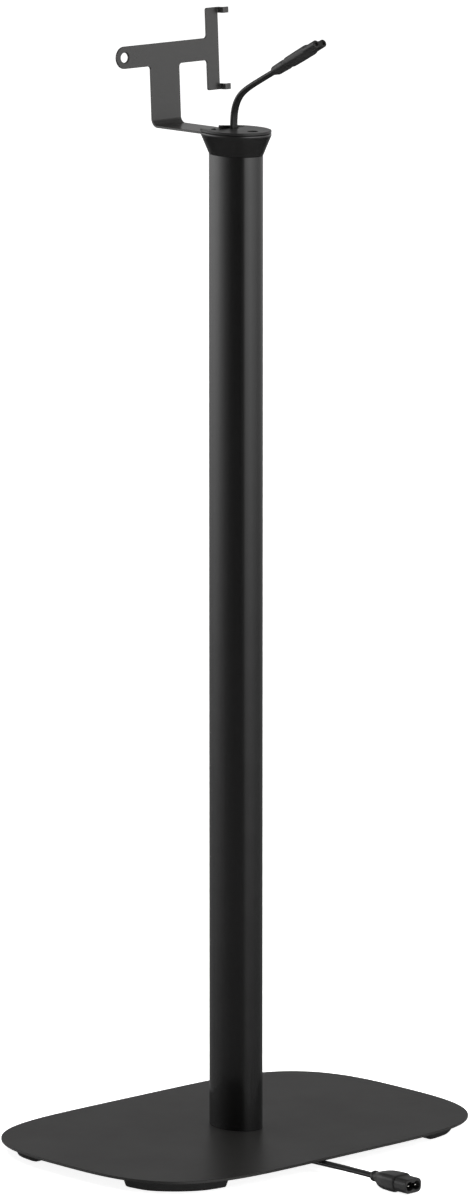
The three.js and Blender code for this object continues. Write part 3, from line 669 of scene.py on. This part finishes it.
# ------------------------------------------------------------------- column
Z0, Z1 = 13.12, 910.5
rings = [ell(COL_P - d, COL_Q - d, z, 256) for z, d in
         ((Z0, 0.2), (Z0 + 0.2, 0.0), (300, 0), (600, 0), (Z1 - 0.2, 0.0), (Z1, 0.2))]
column = loft("column_finished", rings, angle=40)
hollow = loft("cutter", [ell(COL_P - 2.2, COL_Q - 2.2, z, 128) for z in (Z0 - 2, Z1 + 2)])
for _, x, y in SCREWS:
    posts = [pillar(3.9, Z0 - 3, Z1 + 3, x, y, 40)]
    wx, wy = math.copysign(COL_P - 1.2, x), math.copysign(COL_Q - 1.2, y)
    posts.append(block(-2.2, 2.2, min(y, wy), max(y, wy), Z0 - 4, Z1 + 4) if x == 0 else block(min(x, wx), max(x, wx), -2.2, 2.2, Z0 - 4, Z1 + 4))
    boolean(hollow, posts)
boolean(column, [hollow] + [pillar(2.25, Z0 - 5, Z1 + 5, x, y, 32) for _, x, y in SCREWS], angle=40)
wears(column, M_COLUMN)
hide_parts("column_extrusion")

# ----------------------------------------------------------- collar and cap
RX, RY, HOLE = 18.6, 8.0, 4.9
rings = [ell(17.9, 25.8, 894, 256), ell(17.95, 25.85, 894.4, 256), ell(17.95, 25.85, 910.62, 256),
         ell(COL_P - 0.3, COL_Q - 0.3, 910.62, 256)]
for k, z in ((0.0, 910.75), (0.03, 911.1), (0.3, 915.9), (0.6, 921.3), (0.88, 926.3), (0.915, 926.95), (0.942, 927.3), (0.965, 927.6),
             (0.982, 927.95), (0.993, 928.4), (1.0, 929.0), (1.0, 929.4), (0.996, 929.9), (0.985, 930.2), (0.965, 930.45), (0.93, 930.65), (0.88, 930.72)):
    rings.append(ell(COL_P + 8.0 * k, COL_Q + 7.2 * k, z, 256))
collar = loft("collar_finished", rings, angle=40)
boolean(collar, [pillar(1.95, 918.4, 935, 0, 29, 48)], angle=38)
cuts = [loft("cutter", [ell(15.75, 23.65, z, 96) for z in (890, 907.6)])]
for _, x, y in SCREWS:
    cuts.append(pillar(4.32, 893, 910.58, x, y, 40))
    cuts.append(block(-2.6, 2.6, min(y, math.copysign(30, y)), max(y, math.copysign(30, y)), 893, 910.58) if x == 0
                else block(min(x, math.copysign(22, x)), max(x, math.copysign(22, x)), -2.6, 2.6, 893, 910.58))
cuts.append(block(-RX, RX, RY, 60, 927.4, 933))
cuts.append(pillar(HOLE, 890, 935, EXIT_X, EXIT_Y, 64))
cuts += [pillar(1.3, 922, 935, x, 14.0, 40) for x in (-4.4, 9.9)]
cuts += [pillar(2.5, 890, 935, 0, -21.6), pillar(4.85, 921, 935, 0, -22), pillar(2.5, 890, 935, 0, 21.6)]
boolean(collar, cuts, angle=38)
wears(collar, M_COLLAR)
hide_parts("collar")


def cap_outline(n=260):
    """Oval with the open recess for the bracket at its back."""
    y_rim = CAP_Q * math.sqrt(1 - (RX / CAP_P) ** 2)
    a0 = math.atan2(y_rim / CAP_Q, RX / CAP_P)
    start, end = math.pi - a0, TAU + a0
    pts = [(CAP_P * math.cos(start + (end - start) * i / n), CAP_Q * math.sin(start + (end - start) * i / n)) for i in range(n + 1)]
    r = 0.8
    k = math.degrees(math.asin((RY - EXIT_Y) / HOLE))
    pts += [(RX, RY + r + 2)]
    pts += [(RX - r + r * math.cos(math.radians(q)), RY + r + r * math.sin(math.radians(q))) for q in (0, -22, -45, -67, -90)]
    # the lead hole breaks through the inner wall of the recess
    pts += arc(EXIT_X, EXIT_Y, HOLE, k, -180 - k, 44)
    pts += [(-RX + r + r * math.cos(math.radians(q)), RY + r + r * math.sin(math.radians(q))) for q in (-90, -113, -135, -158, -180)]
    pts += [(-RX, RY + r + 2)]
    return pts


cap = flat_piece("cap_finished", [cap_outline(), arc(0, -22, 4.85, 0, 354, 59)], 2.25, 0.4, 4)
move(cap, Matrix.Translation((0, 0, (930.85 + 1.125) * MM)))
wears(cap, M_CAP)
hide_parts("collar_cap")

bar = flat_piece("cable_bar_finished", [
    [(-7.4, 927.5), (12.5, 927.5), (12.5, 934.0), (12.3, 934.22), (5.0, 934.9), (-7.0, 935.96), (-7.4, 935.6)]], 2.4, 0.3, 4)
move(bar, Matrix(((1, 0, 0, 0), (0, 0, -1, 14.0 * MM), (0, 1, 0, 0), (0, 0, 0, 1))))
boolean(bar, [pillar(1.0, 922.8, 928.2, x, 14.0, 32) for x in (-4.4, 9.9)], "UNION")
wears(bar, M_COLLAR)
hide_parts("cable_clamp")

# ------------------------------------------------------------ folded bracket
BEND_Y, BEND_R, ZC = 85.7, 6.0, 935.7
LEAN = math.radians(2.73)
THETA = math.pi / 2 - LEAN
S0 = BEND_Y - 16.2
S1 = S0 + 7.0 * THETA
v = lambda z: (z - ZC) / math.cos(LEAN)
zl, zh, pt, pb = v(983.4), v(1003.6), v(1030.8), v(955.7)
W, f, c = 17.6, 3.0, 2.0
ra, va = (zh - zl) / 2, (zl + zh) / 2
P0, P1, ARM = 52.2, 66.8, -48.5
pat = [(-W, -S1), (W, -S1)]
pat += arc(W + f, zl - f, f, 180, 90)
pat += arc(P0 - f, zl - f, f, 90, 0)
pat += arc(P0 + c, pb + c, c, 180, 270)
pat += arc(P1 - 0.6, pb + 0.6, 0.6, 270, 360, 4)
pat += arc(P1 - 0.6, pt - 0.6, 0.6, 0, 90, 4)
pat += arc(P0 + c, pt - c, c, 90, 180)
pat += arc(P0 - f, zh + f, f, 0, -90)
pat += arc(ARM, va, ra, 90, 270, 28)
pat += arc(-W - f, zl - f, f, 90, 0)
pat = [(x, y + S1) for x, y in pat]
eye = [(x, y + S1) for x, y in arc(ARM, va, 4.5, 0, 354, 59)]
h1 = arc(0, 21.6 - 16.2, 2.25, 0, 348.75, 31)
h2 = arc(0, 29 - 16.2, 1.9, 0, 348.75, 31)
sheet = flat_piece("bracket_finished", [pat, eye, h1, h2], 2.0, 0.3, 3)
bm = bmesh.new()
bm.from_mesh(sheet.data)
for i in range(25):
    s = S0 + (S1 - S0) * i / 24
    bmesh.ops.bisect_plane(bm, geom=bm.verts[:] + bm.edges[:] + bm.faces[:], dist=1e-7,
                           plane_co=(0, s * MM, 0), plane_no=(0, 1, 0))
for q in bm.verts:
    x, s, t = q.co.x / MM, q.co.y / MM, q.co.z / MM
    if s <= S0:
        y, z = 16.2 + s, 928.7 + t
    else:
        th = min((s - S0) / 7.0, THETA)
        y = BEND_Y + (7.0 - t) * math.sin(th)
        z = ZC - (7.0 - t) * math.cos(th)
        if s > S1:
            y += (s - S1) * math.cos(THETA)
            z += (s - S1) * math.sin(THETA)
    q.co = (x * MM, y * MM, z * MM)
bm.to_mesh(sheet.data)
bm.free()
tidy(sheet, 35)


def upright(x, yl, h):
    """Point of the leaning upright: across, through the sheet, and up."""
    return Matrix(((1, 0, 0, 0),
                   (0, math.cos(LEAN), math.sin(LEAN), BEND_Y * MM),
                   (0, -math.sin(LEAN), math.cos(LEAN), ZC * MM), (0, 0, 0, 1))) @ Vector((x * MM, yl * MM, h * MM))


LEANED = Matrix(((1, 0, 0, 0), (0, math.cos(LEAN), math.sin(LEAN), BEND_Y * MM),
                 (0, -math.sin(LEAN), math.cos(LEAN), ZC * MM), (0, 0, 0, 1)))
hooks = []
for z0 in (pb, pt - 5.4):
    x0 = P1
    q = [(x0 - 2.2, 7.99)]
    q += arc(x0 + 2 - 2.3, 7.99 - 2.3, 2.3, 90, 0, 8)
    q += [(x0 + 2 + 0.5 * (1 - math.cos(math.radians(a))), 0.9 + 0.5 * (1 - math.sin(math.radians(a)))) for a in (0, 30, 60, 90)]
    q += arc(x0 + 7.0 - 0.35, 0.9 - 0.35, 0.35, 90, 0, 4)
    q += arc(x0 + 7.0 - 0.35, -1.1 + 0.35, 0.35, 0, -90, 4)
    q += arc(x0 + 2.3, -1.1 + 2.3, 2.3, 270, 180, 8)
    q += [(x0 - 0.5 * (1 - math.cos(math.radians(a))), 6.01 - 0.5 * (1 - math.sin(math.radians(a)))) for a in (0, 30, 60, 90)]
    q += [(x0 - 2.2, 6.01)]
    h = flat_piece("cutter", [q], 5.4, 0.25, 2)
    move(h, Matrix.Translation((0, 0, (z0 + 2.7) * MM)))
    move(h, LEANED)
    hooks.append(h)
boolean(sheet, hooks, "UNION")
# the eye is countersunk on the speaker's side
cone = loft("cutter", [ell(4.45, 4.45, -0.9, 64), ell(5.75, 5.75, 0.4, 64)])
move(cone, Matrix.Translation((ARM * MM, 0, va * MM)) @ Matrix.Translation((0, 6.0 * MM, 0)) @ Matrix.Rotation(math.pi / 2, 4, "X"))
move(cone, LEANED)
boolean(sheet, [cone])
wears(sheet, M_BRACKET)
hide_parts("speaker_bracket")

# ------------------------------------------------ carried-over small pieces
ZINC = ["collar_screw_front", "collar_screw_rear"]
ZINC += [f"base_{k}_{w}" for k in ("bolt", "washer") for w, _, _ in SCREWS]
for name, material in [(n, M_ZINC) for n in ZINC] + [
        ("bracket_screw", M_SCREW), ("connector_top_contact_1", M_NICKEL), ("connector_top_contact_2", M_NICKEL),
        ("cable_clip_inner", M_CLIP), ("cable_clip_outer", M_CLIP)]:
    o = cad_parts[name]
    o.data.materials.clear()
    o.data.materials.append(material)
    for p in o.data.polygons:
        p.material_index = 0

# ------------------------------------------------------------ floor and light
def plane(name, size, z=0.0):
    me = bpy.data.meshes.new(name)
    s = size / 2
    me.from_pydata([(-s, -s, z), (s, -s, z), (s, s, z), (-s, s, z)], [], [(0, 1, 2, 3)])
    return link(name, me)


floor = plane("floor", 60)
fm = Nodes("pale_floor")
fm.b.inputs["Base Color"].default_value = (0.86, 0.86, 0.86, 1)
fm.b.inputs["Roughness"].default_value = 0.9
fm.b.inputs["Specular IOR Level"].default_value = 0.0
fm.b.inputs["Emission Color"].default_value = (1, 1, 1, 1)
fm.b.inputs["Emission Strength"].default_value = 0.88
floor.data.materials.append(fm.m)
floor.visible_glossy = False

# pale dome seen only directly, so that low views end in the same tone
me = bpy.data.meshes.new("backdrop")
bm = bmesh.new()
bmesh.ops.create_uvsphere(bm, u_segments=64, v_segments=32, radius=24)
bmesh.ops.reverse_faces(bm, faces=bm.faces)
bm.to_mesh(me)
bm.free()
dome = link("backdrop", me)
dm = Nodes("pale_backdrop")
dm.b.inputs["Base Color"].default_value = (0, 0, 0, 1)
dm.b.inputs["Specular IOR Level"].default_value = 0.0
dm.b.inputs["Emission Color"].default_value = (1, 1, 1, 1)
dm.b.inputs["Emission Strength"].default_value = 1.0
dome.data.materials.append(dm.m)
dome.visible_glossy = dome.visible_diffuse = dome.visible_shadow = dome.visible_transmission = False

# studio surround: a bright band round the horizon with one dark side
world = bpy.data.worlds.new("studio")
bpy.context.scene.world = world
world.use_nodes = True
wt = world.node_tree
bg = wt.nodes["Background"]
gen = wt.nodes.new("ShaderNodeTexCoord")
sep = wt.nodes.new("ShaderNodeSeparateXYZ")
wt.links.new(gen.outputs["Generated"], sep.inputs[0])


def wmath(op, a, b=None):
    x = wt.nodes.new("ShaderNodeMath")
    x.operation = op
    for s, q in zip(x.inputs, (a, b)):
        if q is None:
            continue
        if isinstance(q, (int, float)):
            s.default_value = q
        else:
            wt.links.new(q, s)
    return x.outputs[0]


def wramp(fac, stops):
    r = wt.nodes.new("ShaderNodeValToRGB")
    e = r.color_ramp.elements
    while len(e) < len(stops):
        e.new(0.5)
    for el, (p, val) in zip(e, stops):
        el.position = p
        el.color = (val, val, val, 1)
    wt.links.new(fac, r.inputs["Fac"])
    return r.outputs["Color"]


# azimuth in degrees from +X, 0..360, then as a fraction
az = wmath("DIVIDE", wmath("ADD", wmath("ARCTAN2", sep.outputs["Y"], sep.outputs["X"]), 0.0), TAU)
az = wmath("FRACT", wmath("ADD", az, 1.0))
el = wmath("DIVIDE", wmath("ARCSINE", sep.outputs["Z"]), math.pi)
el = wmath("ADD", el, 0.5)
deg = lambda d: d / 360.0
ed = lambda d: (d + 90) / 180.0
side = wramp(az, [(deg(d), v) for d, v in (
    (0, 0.30), (40, 0.22), (79, 0.24), (95, 0.46), (110, 0.72), (127, 0.84), (143, 0.53), (156, 0.25), (170, 0.09), (185, 0.02),
    (212, 0.01), (223, 0.14), (230, 0.66), (236, 0.86), (257, 1.06), (283, 0.80), (316, 0.46), (345, 0.34), (360, 0.30))])
band = wramp(el, [(ed(d), v) for d, v in (
    (-60, 0.03), (-14, 0.0), (-12.4, 0.08), (-11.1, 0.18), (-9.8, 0.38), (-8.4, 0.68), (-7.3, 0.90), (-6, 1.0), (9, 1.0), (16, 0.25),
    (40, 0.10), (90, 0.15))])
# light thrown up by the pale floor just below the horizon
low = wramp(el, [(ed(d), v) for d, v in ((-60, 0.0), (-26, 0.0), (-17, 0.07), (-14, 0.075), (-12.4, 0.055), (-11.1, 0.025), (-9, 0.0))])
wt.links.new(wmath("ADD", wmath("MULTIPLY", side, band), low), bg.inputs["Color"])
bg.inputs["Strength"].default_value = 2.8


def area(name, loc, target, size, power, size_y=None):
    li = bpy.data.lights.new(name, "AREA")
    li.energy = power
    li.size = size
    if size_y:
        li.shape = "RECTANGLE"
        li.size_y = size_y
    o = bpy.data.objects.new(name, li)
    bpy.context.scene.collection.objects.link(o)
    o.location = loc
    o.rotation_euler = (Vector(target) - Vector(loc)).to_track_quat("-Z", "Y").to_euler()
    return o


top = area("top_softbox", (0.5, 0.5, 4.5), (0, 0, 0), 6.0, 330)
top.visible_glossy = False
key = area("key_softbox", (2.6, -3.4, 2.6), (0, 0, 0.6), 1.8, 60)
key.visible_glossy = False

bpy.context.scene.view_settings.view_transform = "Standard"

# ------------------------------------------------------------------- finish
bpy.context.view_layer.update()
